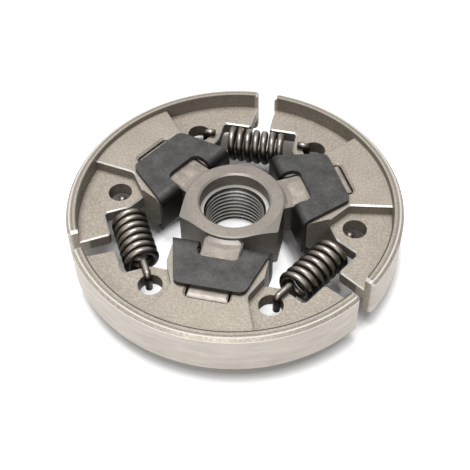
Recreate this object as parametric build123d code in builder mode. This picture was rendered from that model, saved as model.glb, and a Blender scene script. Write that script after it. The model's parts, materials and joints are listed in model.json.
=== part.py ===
from build123d import *
from math import cos, hypot, radians, sin, tan
import os

# Shoes: a rim, a thin web and a raised island each, one third of a ring
shoe_count = 3
outer_diameter = 64.0
rim_wall = 2.0
rim_width = 9.2
web_thickness = 2.8
island_step = 0.9
shoe_gap = 3.4
gap_taper = 2.0
waist_reach = 20.7
waist_width = 14.0
waist_radius = 1.5
flare_angle = 20.8
web_inner_reach = 16.1
cheek_width = 18.2
cheek_reach = 11.3
cheek_end_break = 0.9
pocket_corner_break = 0.5
tip_break = 0.4
rim_end_radius = 0.9
rim_edge_break = 0.5
edge_break = 0.25
slot_edge_break = 0.4

# Carrier: hub, bore and arms
hub_across_flats = 19.0
hub_height = 12.6
hub_top_diameter = 18.4
hub_chamfer_angle = 30.0
hub_corner_break = 0.2
boss_diameter = 18.0
boss_break = 0.5
rear_standoff = 3.0
thread_diameter = 12.0
counterbore_diameter = 13.4
counterbore_depth = 3.0
bore_break = 0.35
arm_width = 7.4
arm_reach = 22.7
arm_edge_break = 0.3
arm_end_break = 0.6
arm_root_break = 0.6

# Fits between arm, shoe and retainer
slot_side_clearance = 0.4
slot_corner_radius = 1.0
stop_clearance = 0.3
arm_face_clearance = 0.1
window_side_clearance = 0.45
leg_clearance = 0.15

# Retainers: sheet folded into a clip round the inner end of a shoe
sheet_thickness = 1.0
retainer_reach = 21.1
retainer_outer_width = 12.9
retainer_side_angle = 15.4
retainer_corner_radius = 1.5
window_reach = 14.35
window_corner_radius = 1.6
fold_radius = 1.0

# Springs: a coil across each gap, with a hook at each end in a hole of the web
spring_axis_reach = 19.8
coil_diameter = 7.0
coil_pitch = 1.67
coil_turns = 7
turn_runs = 10
wire_diameter = 1.4
wire_sides = 6
hook_spacing = 24.0
hook_turn_angle = 35.0
hook_bend_radius = 0.75
bend_runs = 2
hook_clearance = 0.1
hook_leg = 3.6
spring_hole_diameter = 4.6
hole_wall = 1.6
pocket_length = 15.3
pocket_side_clearance = 0.65

# Hooks lie over the web (1) or under it (-1), at the start and the end of each spring
hook_sides = [(1, -1), (-1, -1), (-1, 1)]

# Worked-out sizes
outer_radius = outer_diameter / 2
rim_inner_radius = outer_radius - rim_wall
rim_middle = outer_radius - rim_wall / 2
far = 1.5 * outer_radius
gap_angle = 180 / shoe_count
shoe_angles = [270 + 2 * gap_angle * number for number in range(shoe_count)]
mid_height = rear_standoff + rim_width / 2
island_height = rim_width - 2 * island_step
arm_height = island_height - 2 * arm_face_clearance
arm_top = mid_height + arm_height / 2
slot_width = arm_width + 2 * slot_side_clearance
slot_reach = arm_reach + stop_clearance
island_middle = (slot_width + waist_width) / 4
window_width = arm_width + 2 * window_side_clearance
leg_reach = cheek_reach - leg_clearance - sheet_thickness
clip_height = island_height + 2 * sheet_thickness
pocket_reach = spring_axis_reach + coil_diameter / 2 + pocket_side_clearance
hub_radius = hub_across_flats / 2
hex_half_angle = radians(180 / 6)
hub_corner_reach = hub_radius / cos(hex_half_angle)
foot_wall = hub_height - (hub_radius - hub_top_diameter / 2) * tan(radians(hub_chamfer_angle)) - arm_top
coil_radius = (coil_diameter - wire_diameter) / 2
hook_height = web_thickness / 2 + hook_clearance + wire_diameter / 2
hook_rise = (pocket_length - wire_diameter) / 2 - hook_clearance
hook_reach = (hook_spacing - spring_hole_diameter + wire_diameter) / 2 + hook_clearance
coil_half_angle = 180 * coil_turns - hook_turn_angle
coil_length = coil_pitch * coil_half_angle / 180


def level_frame(angle):
    """Frame at mid-width of the shoes: x points outwards at the angle, z up."""
    outwards = (cos(radians(angle)), sin(radians(angle)), 0)
    return Plane((0, 0, mid_height), x_dir=outwards, z_dir=(0, 0, 1))


def from_gap(reach, offset):
    """Point of a shoe's frame, by its reach along the next gap and its distance from that gap's middle."""
    along = radians(gap_angle)
    return (
        reach * cos(along) + offset * sin(along),
        reach * sin(along) - offset * cos(along),
    )


def gap_half_width(reach):
    return shoe_gap / 2 + (outer_radius - reach) * tan(radians(gap_taper))


def mirrored_corners(sketch, point):
    """The corner of a sketch at a point, and the one across the sketch's x axis."""
    return [sketch.vertices().sort_by_distance(place)[0] for place in (point, (point[0], -point[1]))]


def distance_from_axis(shape):
    """Distance of an edge's middle, or of a vertex, from the part's axis."""
    return round(hypot(shape.center().X, shape.center().Y), 3)


def level_edges(part, level):
    """Edges of a part's flat faces at one level, counted inwards from its top and from its bottom."""
    flats = part.faces().filter_by(Axis.Z).group_by(Axis.Z)
    return (flats[level] + flats[-1 - level]).edges()


def clear_of_rim(place):
    return hypot(place.X, place.Y) < rim_inner_radius - edge_break


def outline_edge(edge, frame):
    """Whether an edge of the island lies along its sides, between the cheeks and the rim."""
    place = frame.to_local_coords(edge.center())
    return abs(place.Y) > island_middle and place.X > web_inner_reach and clear_of_rim(place)


def slot_edge(edge, frame):
    place = frame.to_local_coords(edge.center())
    return abs(place.Y) < island_middle and clear_of_rim(place)


def gap_edge(edge, frame):
    """Whether an edge of the web lies between its spring hole and its end face, clear of the rim."""
    place = frame.to_local_coords(edge.center())
    offset = place.X * sin(radians(gap_angle)) - abs(place.Y) * cos(radians(gap_angle))
    return offset < (hook_spacing - spring_hole_diameter) / 2 and clear_of_rim(place)


def make_shoe(angle):
    frame = level_frame(angle)
    cheek_corner = (cheek_reach, cheek_width / 2)
    island_corner = (web_inner_reach, cheek_width / 2)
    waist_corner = (waist_reach, waist_width / 2)
    flare_end = (far, waist_width / 2 + (far - waist_reach) * tan(radians(flare_angle)))
    pocket_inner = (
        web_inner_reach,
        web_inner_reach * tan(radians(gap_angle)) - pocket_length / 2 / cos(radians(gap_angle)),
    )
    pocket_outer = from_gap(pocket_reach, pocket_length / 2)
    end_face_inner = from_gap(pocket_reach, gap_half_width(pocket_reach))
    end_face_outer = from_gap(far, gap_half_width(far))
    hole = from_gap(spring_axis_reach, hook_spacing / 2)
    hole_places = Locations(hole, (hole[0], -hole[1]))

    with BuildPart() as shoe:
        # Raised island with its cheeks beside the arm
        with BuildSketch(frame) as island:
            with BuildLine():
                Polyline((cheek_reach, 0), cheek_corner, island_corner, waist_corner, flare_end, (far, 0), close=True)
            make_face()
            mirror(about=Plane.XZ)
            fillet(mirrored_corners(island, waist_corner), radius=waist_radius)
            Circle(rim_middle, mode=Mode.INTERSECT)
        extrude(amount=island_height / 2, both=True)

        # Web with the spring pockets at both ends
        with BuildSketch(frame) as web:
            with BuildLine():
                Polyline(
                    (web_inner_reach, 0), pocket_inner, pocket_outer, end_face_inner, end_face_outer, (far, 0),
                    close=True,
                )
            make_face()
            mirror(about=Plane.XZ)
            chamfer(mirrored_corners(web, pocket_outer), length=pocket_corner_break)
            chamfer(mirrored_corners(web, pocket_inner), length=tip_break)
            chamfer(mirrored_corners(web, end_face_inner), length=tip_break)
            with hole_places:
                Circle(spring_hole_diameter / 2 + hole_wall)
            Circle(outer_radius, mode=Mode.INTERSECT)
            fillet(web.vertices().group_by(distance_from_axis)[-1], radius=rim_end_radius)
        extrude(amount=web_thickness / 2, both=True)

        # Rim that carries the friction face
        with BuildSketch(frame):
            add(web.sketch_local)
            Circle(rim_inner_radius, mode=Mode.SUBTRACT)
        extrude(amount=rim_width / 2, both=True)

        # Slot for the arm, and the holes for the spring hooks
        with BuildSketch(frame) as slot:
            with Locations((slot_reach, 0)):
                Rectangle(slot_reach, slot_width, align=(Align.MAX, Align.CENTER))
            fillet(slot.vertices().group_by(Axis.X)[-1], radius=slot_corner_radius)
        extrude(amount=rim_width, both=True, mode=Mode.SUBTRACT)
        with BuildSketch(frame):
            with hole_places:
                Circle(spring_hole_diameter / 2)
        extrude(amount=rim_width, both=True, mode=Mode.SUBTRACT)

        # Cheeks bevelled at their inner ends, to seat in the retainer's folds
        with BuildSketch(Plane(frame.origin, x_dir=frame.x_dir, z_dir=-frame.y_dir)) as side:
            with Locations((cheek_reach, 0)):
                Rectangle(far, island_height, align=(Align.MIN, Align.CENTER))
            chamfer(side.vertices().group_by(Axis.X)[0], length=cheek_end_break)
            with Locations((web_inner_reach, 0)):
                Rectangle(far, rim_width, align=(Align.MIN, Align.CENTER))
        extrude(amount=far, both=True, mode=Mode.INTERSECT)

        # Broken edges of the island, its slot, the web's ends and the rim
        chamfer(level_edges(shoe, 1).filter_by(lambda edge: outline_edge(edge, frame)), length=edge_break)
        chamfer(level_edges(shoe, 1).filter_by(lambda edge: slot_edge(edge, frame)), length=slot_edge_break)
        chamfer(level_edges(shoe, 2).filter_by(lambda edge: gap_edge(edge, frame)), length=edge_break)
        rim_edges = level_edges(shoe, 0).filter_by(GeomType.CIRCLE)
        chamfer(rim_edges.filter_by(lambda edge: distance_from_axis(edge) > rim_middle), length=rim_edge_break)
    return shoe


def make_retainer(angle):
    frame = level_frame(angle)
    side = Plane(frame.origin, x_dir=frame.x_dir, z_dir=-frame.y_dir)
    outer_corner = (retainer_reach, retainer_outer_width / 2)
    side_run = retainer_reach - leg_reach
    inner_corner = (leg_reach, retainer_outer_width / 2 + side_run * tan(radians(retainer_side_angle)))

    with BuildPart() as retainer:
        # Folded section: two leaves joined by a leg at the inner end
        with BuildSketch(side) as section:
            with Locations((leg_reach, 0)):
                Rectangle(side_run, clip_height, align=(Align.MIN, Align.CENTER))
            fillet(section.vertices().group_by(Axis.X)[0], radius=fold_radius + sheet_thickness)
            with BuildSketch(mode=Mode.PRIVATE) as inside:
                with Locations((leg_reach + sheet_thickness, 0)):
                    Rectangle(side_run, island_height, align=(Align.MIN, Align.CENTER))
                fillet(inside.vertices().group_by(Axis.X)[0], radius=fold_radius)
            add(inside.sketch, mode=Mode.SUBTRACT)
        extrude(amount=inner_corner[1], both=True)

        # Outline with tapering sides, and the window for the arm
        with BuildSketch(frame) as outline:
            with BuildLine():
                Polyline((leg_reach, 0), inner_corner, outer_corner, (retainer_reach, 0), close=True)
            make_face()
            mirror(about=Plane.XZ)
            fillet(mirrored_corners(outline, outer_corner), radius=retainer_corner_radius)
        extrude(amount=clip_height, both=True, mode=Mode.INTERSECT)
        with BuildSketch(frame) as window:
            with Locations((window_reach, 0)):
                Rectangle(window_reach, window_width, align=(Align.MAX, Align.CENTER))
            fillet(window.vertices().group_by(Axis.X)[-1], radius=window_corner_radius)
        extrude(amount=clip_height, both=True, mode=Mode.SUBTRACT)
    return retainer


def coil_point(share):
    """Point of a coil's centre line, from -1 at its start to 1 at its end: x up, z along the coil."""
    angle = radians(coil_half_angle * share)
    return Vector(coil_radius * cos(angle), coil_radius * sin(angle), coil_length / 2 * share)


def hook_points(side):
    """Corners of a hook's centre line: it leaves the coil at its foot and ends in its hole."""
    foot = Vector(-coil_radius / cos(radians(hook_turn_angle)), 0, coil_length / 2)
    edge = Vector(hook_height * side, 0, hook_rise)
    mouth = Vector(hook_height * side, 0, hook_reach)
    end = Vector((hook_height - hook_leg) * side, 0, hook_reach)
    bends = [foot, edge, mouth] if side > 0 else [foot, mouth]
    return [coil_point(1), *bends, end]


def hook_runs(side):
    """Points along a hook, with each bend divided into straight runs."""
    hook = FilletPolyline(*hook_points(side), radius=hook_bend_radius, mode=Mode.PRIVATE)
    points = []
    for edge in hook.edges():
        runs = bend_runs if edge.geom_type == GeomType.CIRCLE else 1
        points += [edge @ (run / runs) for run in range(1, runs + 1)]
    return points


def make_spring(angle, start_side, end_side):
    outwards = Vector(cos(radians(angle)), sin(radians(angle)), 0)
    across = Vector(-outwards.Y, outwards.X, 0)
    middle = outwards * spring_axis_reach + Vector(0, 0, mid_height)
    coil_runs = round(coil_half_angle / 180 * turn_runs)

    # Centre line in straight runs: a hook, the coil and the other hook
    start_hook = [Vector(point.X, -point.Y, -point.Z) for point in reversed(hook_runs(start_side))]
    coil = [coil_point(2 * run / coil_runs - 1) for run in range(coil_runs + 1)]
    places = start_hook + coil + hook_runs(end_side)
    runs = [(after - before).normalized() for before, after in zip(places, places[1:])]

    # Corners of the wire's section at each end, and in the mitre plane between each two runs
    tip = Plane(places[0], z_dir=runs[0])
    turns = [radians(360 / wire_sides * side) for side in range(wire_sides)]
    corners = [tip.from_local_coords((wire_diameter / 2 * cos(turn), wire_diameter / 2 * sin(turn))) for turn in turns]
    sections = []
    for place, before, after in zip(places, runs[:1] + runs, runs + runs[-1:]):
        mitre = (before + after).normalized()
        corners = [corner + before * ((place - corner).dot(mitre) / before.dot(mitre)) for corner in corners]
        sections.append(corners)

    # One wire closed by a flat face along each side of each run
    faces = [Face(Wire.make_polygon(section)) for section in (sections[0], sections[-1])]
    for near, ahead in zip(sections, sections[1:]):
        for side in range(wire_sides):
            faces.append(Face(Wire.make_polygon([near[side - 1], near[side], ahead[side], ahead[side - 1]])))
    with BuildPart(Plane(middle, x_dir=(0, 0, 1), z_dir=across)) as spring:
        add(Solid(Shell(faces)))
    return spring


with BuildPart() as carrier:
    # Arms that carry and drive the shoes
    with BuildSketch(Plane.XY.offset(mid_height)):
        with PolarLocations(0, shoe_count, start_angle=shoe_angles[0]):
            Rectangle(arm_reach, arm_width, align=(Align.MIN, Align.CENTER))
    extrude(amount=arm_height / 2, both=True)
    chamfer(level_edges(carrier, 0).group_by(distance_from_axis)[-1], length=arm_end_break)
    chamfer(level_edges(carrier, 0).group_by(distance_from_axis)[0], length=arm_edge_break)

    # Hub with a wrench corner towards each gap, and its rear boss
    with BuildSketch(Plane.XY.offset(rear_standoff)) as hub:
        Circle(hub_radius)
        flat_end = (hub_radius * cos(hex_half_angle), hub_radius * sin(hex_half_angle))
        with PolarLocations(0, shoe_count, start_angle=shoe_angles[0] + gap_angle):
            Polygon((0, 0), (flat_end[0], -flat_end[1]), (hub_corner_reach, 0), flat_end, align=None)
        chamfer(hub.vertices().group_by(distance_from_axis)[-1], length=hub_corner_break)
    extrude(amount=hub_height - rear_standoff)
    Cylinder(boss_diameter / 2, rear_standoff, align=(Align.CENTER, Align.CENTER, Align.MIN))
    chamfer(carrier.edges().group_by(Axis.Z)[0], length=boss_break)

    # Conical chamfer round the top of the hub
    with BuildSketch(Plane.XZ):
        with BuildLine():
            cone_drop = (hub_corner_reach - hub_top_diameter / 2) * tan(radians(hub_chamfer_angle))
            Polyline(
                (hub_top_diameter / 2, hub_height),
                (hub_corner_reach, hub_height),
                (hub_corner_reach, hub_height - cone_drop),
                close=True,
            )
        make_face()
    revolve(axis=Axis.Z, mode=Mode.SUBTRACT)

    # Broken corner at the hub's foot on the arms
    foot = carrier.edges().filter_by(GeomType.CIRCLE).filter_by_position(Axis.Z, arm_top, arm_top)
    chamfer(foot, length=min(arm_root_break, foot_wall / 2))

    # Counterbored and threaded bore
    with Locations((0, 0, hub_height)):
        CounterBoreHole(thread_diameter / 2, counterbore_diameter / 2, counterbore_depth)
    end_faces = carrier.faces().filter_by(Axis.Z).sort_by(Axis.Z)
    mouths = end_faces[0].inner_wires() + end_faces[-1].inner_wires()
    chamfer(mouths.edges(), length=bore_break)

os.makedirs("parts", exist_ok=True)
carrier.part.label = "carrier"
export_step(carrier.part, "parts/carrier.step")
for number, angle in enumerate(shoe_angles, start=1):
    shoe = make_shoe(angle)
    shoe.part.label = f"shoe_{number}"
    export_step(shoe.part, f"parts/shoe_{number}.step")
    retainer = make_retainer(angle)
    retainer.part.label = f"retainer_{number}"
    export_step(retainer.part, f"parts/retainer_{number}.step")
    spring = make_spring(angle + gap_angle, *hook_sides[number - 1])
    spring.part.label = f"spring_{number}"
    export_step(spring.part, f"parts/spring_{number}.step")
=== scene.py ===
import json
from math import cos, pi, radians, sin

import bpy
from mathutils import Matrix, Vector


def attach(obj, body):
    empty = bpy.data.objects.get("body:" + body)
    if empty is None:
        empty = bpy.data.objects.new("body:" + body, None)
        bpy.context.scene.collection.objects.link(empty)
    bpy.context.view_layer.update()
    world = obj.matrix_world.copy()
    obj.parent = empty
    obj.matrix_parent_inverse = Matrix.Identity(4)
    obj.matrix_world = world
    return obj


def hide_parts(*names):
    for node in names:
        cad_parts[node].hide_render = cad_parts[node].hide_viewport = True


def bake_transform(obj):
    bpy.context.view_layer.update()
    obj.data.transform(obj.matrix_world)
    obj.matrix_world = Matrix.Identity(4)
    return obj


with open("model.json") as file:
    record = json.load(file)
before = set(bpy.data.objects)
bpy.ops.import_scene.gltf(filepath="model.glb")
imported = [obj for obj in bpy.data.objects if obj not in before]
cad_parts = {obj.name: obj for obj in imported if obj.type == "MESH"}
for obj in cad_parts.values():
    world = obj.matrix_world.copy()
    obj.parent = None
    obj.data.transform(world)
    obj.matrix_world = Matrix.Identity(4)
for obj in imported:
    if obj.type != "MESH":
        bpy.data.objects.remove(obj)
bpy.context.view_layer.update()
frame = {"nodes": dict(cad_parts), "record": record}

MM = 0.001

# Camera, as the photograph was taken
VIEW_AZIMUTH = 13.70
VIEW_ELEVATION = 49.58
VIEW_ROLL = -1.326
VIEW_DISTANCE = 194.87 * MM
VIEW_RIGHT = -0.103 * MM
VIEW_UP = 1.451 * MM
FOCAL_PIXELS = 977.1
IMAGE_PIXELS = 470
SENSOR_WIDTH = 36.0

# Shoes' rim and slot, and the hub, as in the solids
RIM_OUTER_RADIUS = 32.0 * MM
RIM_INNER_RADIUS = 30.0 * MM
RIM_TOP = 12.2 * MM
RIM_EDGE = 0.5 * MM
SLOT_HALF_WIDTH = 4.1 * MM
SLOT_REACH = 23.0 * MM
GAP_HALF_WIDTH = 1.7 * MM
COUNTERBORE_RADIUS = 6.7 * MM
HUB_CORNER_REACH = 10.97 * MM

# Thread in the hub's bore
THREAD_RADIUS = 6.0 * MM
THREAD_CREST_RADIUS = 5.46 * MM
THREAD_PITCH = 1.0 * MM
THREAD_LOW = 0.5 * MM
THREAD_HIGH = 9.2 * MM
THREAD_STEPS = 72

# Springs: coil and hooks, as in the solids
SPRING_AXIS_REACH = 19.8 * MM
MID_HEIGHT = 7.6 * MM
WIRE_RADIUS = 0.7 * MM
COIL_RADIUS = 2.8 * MM
COIL_PITCH = 1.67 * MM
COIL_TURNS = 7
HOOK_TURN = radians(35)
HOOK_HEIGHT = 2.2 * MM
HOOK_RISE = 6.85 * MM
HOOK_REACH = 10.5 * MM
HOOK_LEG = 3.6 * MM
HOOK_BEND = 0.75 * MM
TIP_CURL = 1.9 * MM
COIL_HALF_ANGLE = pi * COIL_TURNS - HOOK_TURN
COIL_LENGTH = COIL_PITCH * COIL_HALF_ANGLE / pi
COIL_STEPS = 300
BEND_STEPS = 8
WIRE_SIDES = 14
GAP_ANGLES = (330, 90, 210)
HOOK_SIDES = ((1, -1), (-1, -1), (-1, 1))

# Floor: how far it glows: outside the rim's shadow, whose outer part the glow lightens, and as painted
# light in the part's shade below the bore and below the open gaps
FLOOR_SIZE = 3.0
FLOOR_GLOW = 0.65
SHADOW_RADIUS, OPEN_RADIUS = 30.6 * MM, 33.4 * MM
BORE_DARK_RADIUS, BORE_LIT_RADIUS = 6.8 * MM, 5.6 * MM
GAPS_X, GAPS_Y = -2.0 * MM, -8.7 * MM
GAPS_DARK_RADIUS, GAPS_LIT_RADIUS = 16.0 * MM, 14.0 * MM


def link_mesh(name, vertices, faces, material):
    mesh = bpy.data.meshes.new(name)
    mesh.from_pydata(vertices, [], faces)
    mesh.update()
    mesh.materials.append(material)
    mesh.shade_smooth()
    piece = bpy.data.objects.new(name, mesh)
    bpy.context.scene.collection.objects.link(piece)
    return piece


# Materials

class Nodes:
    """Short ways to add and join the nodes of one material."""

    def __init__(self, name):
        self.material = bpy.data.materials.new(name)
        self.material.use_nodes = True
        self.tree = self.material.node_tree
        self.shader = self.tree.nodes["Principled BSDF"]
        self.output = self.tree.nodes["Material Output"]
        self.place = self.tree.nodes.new("ShaderNodeTexCoord").outputs["Object"]
        self.normal = self.tree.nodes.new("ShaderNodeNewGeometry").outputs["Normal"]

    def link(self, source, target):
        self.tree.links.new(source, target)

    def put(self, socket, value):
        if hasattr(value, "is_output"):
            self.link(value, socket)
        else:
            socket.default_value = value

    def noise(self, scale, detail=3.0, roughness=0.55, place=None):
        node = self.tree.nodes.new("ShaderNodeTexNoise")
        self.link(place or self.place, node.inputs["Vector"])
        node.inputs["Scale"].default_value = scale
        node.inputs["Detail"].default_value = detail
        node.inputs["Roughness"].default_value = roughness
        return node.outputs["Fac"]

    def ramp(self, value, *stops):
        node = self.tree.nodes.new("ShaderNodeValToRGB")
        self.link(value, node.inputs["Fac"])
        elements = node.color_ramp.elements
        while len(elements) < len(stops):
            elements.new(1.0)
        for element, (position, shade) in zip(elements, stops):
            element.position = position
            element.color = (*shade, 1) if isinstance(shade, tuple) else (shade, shade, shade, 1)
        return node.outputs["Color"]

    def mix(self, factor, first, second, kind="MIX"):
        node = self.tree.nodes.new("ShaderNodeMix")
        node.data_type = "RGBA"
        node.blend_type = kind
        self.put(node.inputs["Factor"], factor)
        self.put(node.inputs[6], first)
        self.put(node.inputs[7], second)
        return node.outputs[2]

    def math(self, operation, *values):
        node = self.tree.nodes.new("ShaderNodeMath")
        node.operation = operation
        for socket, value in zip(node.inputs, values):
            self.put(socket, value)
        return node.outputs[0]

    def split(self, vector):
        node = self.tree.nodes.new("ShaderNodeSeparateXYZ")
        self.link(vector, node.inputs[0])
        return node.outputs

    def tilt(self):
        """How far a face leans: 0 where it stands upright, 1 where it lies flat."""
        return self.math("ABSOLUTE", self.split(self.normal)["Z"])

    def radius(self, x=0.0, y=0.0):
        """Distance from the part's axis, or from an upright line at a given place."""
        place = self.split(self.place)
        across, along = self.math("SUBTRACT", place["X"], x), self.math("SUBTRACT", place["Y"], y)
        squares = self.math("MULTIPLY_ADD", along, along, self.math("MULTIPLY", across, across))
        return self.math("SQRT", squares)

    def off_line(self, radius, first_angle):
        """Distance from the nearest of three lines out from the axis, the first at a given angle."""
        place = self.split(self.place)
        angle = self.math("ARCTAN2", place["Y"], place["X"])
        turn = self.math("WRAP", self.math("SUBTRACT", angle, first_angle), pi / 3, -pi / 3)
        return self.math("MULTIPLY", radius, self.math("ABSOLUTE", self.math("SINE", turn)))

    def band(self, value, low, high, soft):
        """1 where a value lies between low and high, 0 outside."""
        rise = self.between(value, low - soft, low + soft)
        return self.math("MULTIPLY", rise, self.between(value, high + soft, high - soft))

    def between(self, value, low, high):
        """Rises from 0 to 1 as a value passes from low to high."""
        node = self.tree.nodes.new("ShaderNodeMapRange")
        self.link(value, node.inputs["Value"])
        node.inputs["From Min"].default_value = low
        node.inputs["From Max"].default_value = high
        return node.outputs["Result"]

    def stretched(self, x, y, z):
        """Place with each axis scaled, for marks that run one way."""
        node = self.tree.nodes.new("ShaderNodeMapping")
        self.link(self.place, node.inputs["Vector"])
        node.inputs["Scale"].default_value = (x, y, z)
        return node.outputs["Vector"]

    def bump(self, height, strength, distance):
        node = self.tree.nodes.new("ShaderNodeBump")
        node.inputs["Strength"].default_value = strength
        node.inputs["Distance"].default_value = distance
        self.link(height, node.inputs["Height"])
        self.link(node.outputs["Normal"], self.shader.inputs["Normal"])


def sintered_iron():
    """Pressed and sintered iron: grainy flats, inner walls darkened with painted shade, sloped edges and
    the rim's outer edge lit with painted highlights, and a turned friction face.
    """
    made = Nodes("sintered_iron")
    tilt, radius = made.tilt(), made.radius()
    height = made.split(made.place)["Z"]
    grain = made.noise(2300, 5.0, 0.7)
    mottle = made.noise(240, 3.0, 0.5)
    body = made.ramp(
        grain,
        (0.3, (0.36, 0.315, 0.258)),
        (0.5, (0.5, 0.445, 0.372)),
        (0.7, (0.66, 0.6, 0.52)),
    )
    stain = made.ramp(mottle, (0.3, (0.93, 0.92, 0.91)), (0.7, (1.04, 1.04, 1.04)))
    flat = made.mix(1.0, body, stain, "MULTIPLY")

    # Rim's top: a dark line along its inner edge, a darker band and a painted highlight along its outer
    # edge
    inner_edge_line = made.band(radius, RIM_INNER_RADIUS - 0.1 * MM, RIM_INNER_RADIUS + 0.25 * MM, 0.06 * MM)
    darker_band = made.band(radius, RIM_OUTER_RADIUS - 1.25 * MM, RIM_OUTER_RADIUS - 0.9 * MM, 0.12 * MM)
    # Painted highlight: a pale line along the outer edge of the rim's top
    rim_highlight = made.between(radius, RIM_OUTER_RADIUS - 0.85 * MM, RIM_OUTER_RADIUS - 0.7 * MM)
    on_rim = made.between(height, RIM_TOP - 0.4 * MM, RIM_TOP - 0.3 * MM)
    top = made.mix(darker_band, flat, made.mix(1.0, flat, (0.62, 0.62, 0.62, 1), "MULTIPLY"))
    top = made.mix(rim_highlight, top, (0.8, 0.77, 0.73, 1))
    top = made.mix(inner_edge_line, top, (0.1, 0.088, 0.075, 1))
    level = made.mix(on_rim, flat, top)

    # Walls: darkened inside with painted shade, turned on the friction face, the rim's ends left without
    # the painted shade
    # Painted shade: upright faces at 0.4 of the flat colour
    shaded_wall = made.mix(1.0, flat, (0.4, 0.39, 0.38, 1), "MULTIPLY")
    rings = made.noise(700, 3.0, 0.6, made.stretched(0.25, 0.25, 1.3))
    turned = made.ramp(rings, (0.25, (0.47, 0.425, 0.375)), (0.75, (0.62, 0.57, 0.515)))
    wall_top = RIM_TOP - RIM_EDGE
    # Painted highlight: a pale band along the top border of the friction face
    wear_and_highlight = made.band(height, wall_top - 0.25 * MM, wall_top, 0.06 * MM)
    turned = made.mix(wear_and_highlight, turned, (0.84, 0.81, 0.77, 1))
    outside = made.between(radius, RIM_OUTER_RADIUS - 0.7 * MM, RIM_OUTER_RADIUS - 0.55 * MM)
    off_gap = made.off_line(radius, pi / 2)
    near_gap = made.between(off_gap, GAP_HALF_WIDTH + 0.9 * MM, GAP_HALF_WIDTH + 0.5 * MM)
    near_rim = made.between(radius, RIM_INNER_RADIUS - 2.0 * MM, RIM_INNER_RADIUS - 1.5 * MM)
    rim_end = made.math("MULTIPLY", near_gap, near_rim)
    upright = made.mix(outside, made.mix(rim_end, shaded_wall, flat), turned)

    # Sloped edges: a near-white painted highlight, glossier and more metallic, but for those of the slot
    # and the rim
    off_slot = made.off_line(radius, pi / 6)
    beside = made.between(off_slot, SLOT_HALF_WIDTH + 1.9 * MM, SLOT_HALF_WIDTH + 0.9 * MM)
    short_of_rim = made.between(radius, SLOT_REACH + 3.5 * MM, SLOT_REACH + 3.0 * MM)
    slot = made.math("MULTIPLY", beside, short_of_rim)
    on_outer_edge = made.between(radius, RIM_OUTER_RADIUS - 0.8 * MM, RIM_OUTER_RADIUS - 0.7 * MM)
    plain = made.math("MAXIMUM", slot, on_outer_edge)
    # Painted highlight: sloped edges in a near-white colour
    edge = made.mix(plain, (0.94, 0.92, 0.89, 1), flat)
    sloped = made.math("MULTIPLY", made.band(tilt, 0.22, 0.95, 0.04), made.math("SUBTRACT", 1.0, plain))
    faces = made.mix(made.between(tilt, 0.1, 0.35), upright, edge)
    made.link(made.mix(made.between(tilt, 0.93, 0.98), faces, level), made.shader.inputs["Base Color"])
    matt = made.ramp(grain, (0.3, 0.58), (0.7, 0.44))
    made.link(made.mix(sloped, matt, (0.34, 0.34, 0.34, 1)), made.shader.inputs["Roughness"])
    metallic = made.math("MAXIMUM", made.math("MULTIPLY", outside, 0.5), made.math("MULTIPLY", sloped, 0.6))
    made.link(made.math("MAXIMUM", metallic, 0.25), made.shader.inputs["Metallic"])
    made.bump(grain, 0.5, 0.03 * MM)
    return made.material


def carrier_steel():
    """Sintered steel, its upright faces darkened with painted shade and the counterbore's seat ring
    lightened with painted light.
    """
    made = Nodes("carrier_steel")
    tilt, radius = made.tilt(), made.radius()
    grain = made.noise(2600, 4.0, 0.6)
    mottle = made.noise(300, 3.0, 0.5)
    body = made.ramp(grain, (0.3, (0.33, 0.29, 0.25)), (0.7, (0.46, 0.41, 0.365)))
    stain = made.ramp(mottle, (0.3, (0.88, 0.87, 0.86)), (0.7, (1.05, 1.04, 1.03)))
    flat = made.mix(1.0, body, stain, "MULTIPLY")
    # Painted shade: upright faces at 0.36 of the flat colour
    shaded_wall = made.mix(1.0, flat, (0.36, 0.35, 0.34, 1), "MULTIPLY")
    faces = made.mix(made.between(tilt, 0.15, 0.45), shaded_wall, (0.43, 0.395, 0.36, 1))
    # Painted light: the seat ring around the bore lightened
    lit_seat = made.band(radius, THREAD_RADIUS - 0.1 * MM, COUNTERBORE_RADIUS + 0.05 * MM, 0.05 * MM)
    level = made.mix(lit_seat, flat, (0.8, 0.77, 0.73, 1))
    colour = made.mix(made.between(tilt, 0.9, 0.97), faces, level)
    # Arms: paler worn patches at random
    wear_and_highlight = made.ramp(made.noise(420, 4.0, 0.6), (0.35, (0.95, 0.95, 0.95)), (0.65, (1.5, 1.5, 1.5)))
    off_hub = made.between(radius, HUB_CORNER_REACH + 0.03 * MM, HUB_CORNER_REACH + 0.33 * MM)
    arms = made.mix(off_hub, (1, 1, 1, 1), wear_and_highlight)
    made.link(made.mix(1.0, colour, arms, "MULTIPLY"), made.shader.inputs["Base Color"])
    made.link(made.ramp(grain, (0.3, 0.5), (0.7, 0.36)), made.shader.inputs["Roughness"])
    made.shader.inputs["Metallic"].default_value = 0.4
    made.bump(grain, 0.3, 0.02 * MM)
    return made.material


def black_sheet():
    """Blackened sheet steel, its upright faces, such as the cut edges, darkened to near black with painted
    shade.
    """
    made = Nodes("black_sheet")
    grain = made.noise(2200, 4.0, 0.65)
    mottle = made.noise(330, 5.0, 0.65)
    body = made.ramp(mottle, (0.3, (0.058, 0.055, 0.053)), (0.7, (0.138, 0.131, 0.126)))
    specks = made.ramp(grain, (0.3, 0.72), (0.7, 1.28))
    flat = made.mix(1.0, body, specks, "MULTIPLY")
    # Painted shade: upright faces near black
    cut = made.between(made.tilt(), 0.95, 0.6)
    made.link(made.mix(cut, flat, (0.014, 0.013, 0.012, 1)), made.shader.inputs["Base Color"])
    made.link(made.ramp(grain, (0.3, 0.52), (0.7, 0.36)), made.shader.inputs["Roughness"])
    made.shader.inputs["Metallic"].default_value = 0.3
    made.bump(grain, 0.4, 0.02 * MM)
    return made.material


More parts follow.
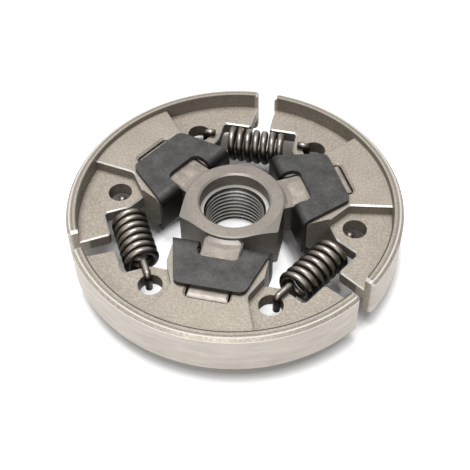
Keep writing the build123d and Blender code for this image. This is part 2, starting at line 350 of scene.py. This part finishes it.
def bore_thread():
    """Cut thread: a painted highlight along its crests and painted shade in its grooves."""
    made = Nodes("bore_thread")
    depth = made.between(made.radius(), THREAD_RADIUS - 0.02 * MM, THREAD_CREST_RADIUS)
    wear = made.noise(900, 3.0, 0.6)
    # Painted highlight on the crests, painted shade in the grooves
    lit_crest = made.ramp(wear, (0.3, (0.85, 0.81, 0.76)), (0.7, (0.97, 0.94, 0.9)))
    shaded_groove = made.ramp(wear, (0.3, (0.012, 0.011, 0.01)), (0.7, (0.03, 0.027, 0.024)))
    made.link(made.mix(made.between(depth, 0.55, 1.0), shaded_groove, lit_crest), made.shader.inputs["Base Color"])
    made.link(made.ramp(wear, (0.3, 0.32), (0.7, 0.45)), made.shader.inputs["Roughness"])
    made.shader.inputs["Metallic"].default_value = 0.5
    return made.material


def spring_wire():
    """Dark drawn wire, with a painted highlight along the top of each turn and painted shade on its sides
    and underside.
    """
    made = Nodes("spring_wire")
    mottle = made.noise(700, 3.0, 0.5)
    # Colour by which way the wire faces: painted shade below, painted highlight on top
    upwards = made.split(made.normal)["Z"]
    body = made.ramp(
        upwards,
        (0.25, (0.03, 0.025, 0.021)),
        (0.7, (0.16, 0.133, 0.108)),
        (0.97, (0.56, 0.51, 0.455)),
    )
    stain = made.ramp(mottle, (0.3, 0.8), (0.7, 1.15))
    made.link(made.mix(1.0, body, stain, "MULTIPLY"), made.shader.inputs["Base Color"])
    made.link(made.ramp(mottle, (0.3, 0.3), (0.7, 0.38)), made.shader.inputs["Roughness"])
    made.shader.inputs["Metallic"].default_value = 0.7
    return made.material


MATERIALS = {
    "sintered_iron": sintered_iron(),
    "carrier_steel": carrier_steel(),
    "black_sheet": black_sheet(),
    "spring_wire": spring_wire(),
}

for subpart in frame["record"]["subparts"]:
    node = frame["nodes"][subpart["node"]]
    node.data.materials.clear()
    node.data.materials.append(MATERIALS[subpart["material_slot"]])


# Thread: one ridge wound up the bore's wall

def thread_ridge():
    turns = (THREAD_HIGH - THREAD_LOW) / THREAD_PITCH
    count = int(turns * THREAD_STEPS)
    profile = ((-0.46, 0.0), (-0.08, 1.0), (0.08, 1.0), (0.46, 0.0))
    vertices, faces = [], []
    for step in range(count + 1):
        angle = 2 * pi * step / THREAD_STEPS
        height = THREAD_LOW + THREAD_PITCH * step / THREAD_STEPS
        fade = min(1.0, 4 * step / THREAD_STEPS, 4 * (count - step) / THREAD_STEPS)
        for along, inwards in profile:
            depth = (THREAD_RADIUS - THREAD_CREST_RADIUS) * inwards * fade
            radius = THREAD_RADIUS + 0.02 * MM - depth
            vertices.append((radius * cos(angle), radius * sin(angle), height + along * THREAD_PITCH))
    width = len(profile)
    for step in range(count):
        for side in range(width - 1):
            first = step * width + side
            faces.append((first, first + 1, first + width + 1, first + width))
    piece = link_mesh("bore_thread", vertices, faces, bore_thread())
    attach(piece, "carrier_body")


# Springs: round wire through both hooks and the coil

def rounded(points, radius):
    """Points along a path with straight runs and round bends."""
    path = [points[0]]
    for before, corner, after in zip(points, points[1:], points[2:]):
        back, onwards = (before - corner).normalized(), (after - corner).normalized()
        half = back.angle(onwards) / 2
        reach = radius * cos(half) / sin(half)
        centre = corner + (back + onwards).normalized() * (radius / sin(half))
        first, last = corner + back * reach - centre, corner + onwards * reach - centre
        sweep = first.angle(last)
        for step in range(BEND_STEPS + 1):
            part = step / BEND_STEPS
            arm = first * sin((1 - part) * sweep) + last * sin(part * sweep)
            path.append(centre + arm / sin(sweep))
    path.append(points[-1])
    return path


def coil_point(share):
    """Point of the coil's centre line, from -1 at its start to 1 at its end: x up, z along the coil."""
    angle = COIL_HALF_ANGLE * share
    return Vector((COIL_RADIUS * cos(angle), COIL_RADIUS * sin(angle), COIL_LENGTH / 2 * share))


def hook_path(side, curled):
    """A hook that leaves the coil at its foot, passes over or under the web and ends in its hole."""
    foot = Vector((-COIL_RADIUS / cos(HOOK_TURN), 0, COIL_LENGTH / 2))
    edge = Vector((HOOK_HEIGHT * side, 0, HOOK_RISE))
    mouth = Vector((HOOK_HEIGHT * side, 0, HOOK_REACH))
    end = Vector(((HOOK_HEIGHT - HOOK_LEG) * side, 0, HOOK_REACH))
    if curled:
        top = Vector((HOOK_HEIGHT, 0, HOOK_REACH))
        return rounded([coil_point(1), foot, mouth, top, top - Vector((0, 0, TIP_CURL))], HOOK_BEND)
    bends = [foot, edge, mouth] if side > 0 else [foot, mouth]
    return rounded([coil_point(1), *bends, end], HOOK_BEND)


def spring_path(start_side, end_side):
    curled = start_side == end_side
    start = [Vector((point.x, -point.y, -point.z)) for point in hook_path(start_side, curled)]
    coil = [coil_point(2 * step / COIL_STEPS - 1) for step in range(1, COIL_STEPS)]
    return start[::-1] + coil + hook_path(end_side, curled)


def tube(path, radius, sides):
    """Vertices and faces of a round wire along a path, with a flat face at each end."""
    vertices, faces = [], []
    across = (path[1] - path[0]).orthogonal().normalized()
    for index, point in enumerate(path):
        before, after = path[max(index - 1, 0)], path[min(index + 1, len(path) - 1)]
        forward = (after - before).normalized()
        across = (across - forward * across.dot(forward)).normalized()
        other = forward.cross(across)
        for side in range(sides):
            angle = 2 * pi * side / sides
            vertices.append(point + (across * cos(angle) + other * sin(angle)) * radius)
    for index in range(len(path) - 1):
        for side in range(sides):
            nearer = index * sides + side
            next_side = index * sides + (side + 1) % sides
            faces.append((nearer, next_side, next_side + sides, nearer + sides))
    faces.append(tuple(range(sides))[::-1])
    last = (len(path) - 1) * sides
    faces.append(tuple(range(last, last + sides)))
    return vertices, faces


def spring(number, gap_angle, sides):
    outwards = Vector((cos(radians(gap_angle)), sin(radians(gap_angle)), 0))
    along = Vector((-outwards.y, outwards.x, 0))
    up = Vector((0, 0, 1))
    middle = outwards * SPRING_AXIS_REACH + up * MID_HEIGHT
    side_axis = along.cross(up)
    path = [middle + up * point.x + side_axis * point.y + along * point.z for point in spring_path(*sides)]
    vertices, faces = tube(path, WIRE_RADIUS, WIRE_SIDES)
    piece = link_mesh(f"spring_wire_{number}", vertices, faces, MATERIALS["spring_wire"])
    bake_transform(piece)
    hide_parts(f"spring_{number}")


thread_ridge()
for number, (gap_angle, sides) in enumerate(zip(GAP_ANGLES, HOOK_SIDES), start=1):
    spring(number, gap_angle, sides)


# Floor, light and camera

def floor():
    """White ground which glows beyond the rim; the glow is painted light where it fades in across the rim's
    shadow and where it lights the part's shade below the bore and below the open gaps.
    """
    made = Nodes("floor_white")
    made.shader.inputs["Base Color"].default_value = (0.9, 0.9, 0.9, 1)
    made.shader.inputs["Roughness"].default_value = 0.9
    made.shader.inputs["Specular IOR Level"].default_value = 0.0
    glow = made.tree.nodes.new("ShaderNodeEmission")
    rays = made.tree.nodes.new("ShaderNodeLightPath")
    seen = made.math("MAXIMUM", rays.outputs["Is Camera Ray"], rays.outputs["Is Glossy Ray"])
    seen = made.math("MAXIMUM", seen, rays.outputs["Is Transmission Ray"])
    radius = made.radius()
    # Painted light: the glow rises across the rim's shadow from SHADOW_RADIUS to OPEN_RADIUS
    open_floor = made.between(radius, SHADOW_RADIUS, OPEN_RADIUS)
    # Painted light in the part's shade below the bore and below the gaps
    below_bore = made.between(radius, BORE_DARK_RADIUS, BORE_LIT_RADIUS)
    below_gaps = made.between(made.radius(GAPS_X, GAPS_Y), GAPS_DARK_RADIUS, GAPS_LIT_RADIUS)
    lit = made.math("MAXIMUM", open_floor, made.math("MAXIMUM", below_bore, below_gaps))
    strength = made.math("MULTIPLY", lit, FLOOR_GLOW)
    made.link(made.math("MULTIPLY", seen, strength), glow.inputs["Strength"])
    both = made.tree.nodes.new("ShaderNodeAddShader")
    made.link(made.shader.outputs[0], both.inputs[0])
    made.link(glow.outputs[0], both.inputs[1])
    made.link(both.outputs[0], made.output.inputs["Surface"])
    corners = [(x * FLOOR_SIZE, y * FLOOR_SIZE, 0) for x, y in ((-1, -1), (1, -1), (1, 1), (-1, 1))]
    link_mesh("floor", corners, [(0, 1, 2, 3)], made.material)


def softbox(name, azimuth, elevation, distance, size, power, gloss_only=False):
    light = bpy.data.lights.new(name, "AREA")
    light.shape = "DISK"
    light.size = size
    light.energy = power
    lamp = bpy.data.objects.new(name, light)
    a, e = radians(azimuth), radians(elevation)
    back = Vector((sin(a) * cos(e), -cos(a) * cos(e), sin(e)))
    lamp.location = back * distance
    lamp.visible_diffuse = not gloss_only
    lamp.rotation_mode = "QUATERNION"
    lamp.rotation_quaternion = (-back).to_track_quat("-Z", "Y")
    bpy.context.scene.collection.objects.link(lamp)


def sky(strength):
    world = bpy.data.worlds.new("studio")
    world.use_nodes = True
    nodes = world.node_tree.nodes
    nodes["Background"].inputs["Color"].default_value = (1, 1, 1, 1)
    nodes["Background"].inputs["Strength"].default_value = strength
    bpy.context.scene.world = world


def camera():
    data = bpy.data.cameras.new("camera")
    data.sensor_width = SENSOR_WIDTH
    data.lens = FOCAL_PIXELS / IMAGE_PIXELS * SENSOR_WIDTH
    data.clip_start = 0.01
    lens = bpy.data.objects.new("camera", data)
    bpy.context.scene.collection.objects.link(lens)
    turn = Matrix.Rotation(radians(VIEW_AZIMUTH), 4, "Z")
    turn = turn @ Matrix.Rotation(radians(90 - VIEW_ELEVATION), 4, "X")
    turn = turn @ Matrix.Rotation(radians(VIEW_ROLL), 4, "Z")
    lens.matrix_world = turn @ Matrix.Translation((VIEW_RIGHT, VIEW_UP, VIEW_DISTANCE))
    bpy.context.scene.camera = lens


floor()
softbox("key", VIEW_AZIMUTH + 205, 80, 0.9, 0.5, 5.1)
softbox("fill", VIEW_AZIMUTH - 15, 35, 0.8, 0.5, 1.1)
softbox("side", VIEW_AZIMUTH - 85, 25, 0.8, 0.5, 0.5)
softbox("edges", VIEW_AZIMUTH - 10, 40, 0.8, 0.7, 3.0, gloss_only=True)
sky(0.3)
camera()
bpy.context.scene.view_settings.view_transform = "Standard"
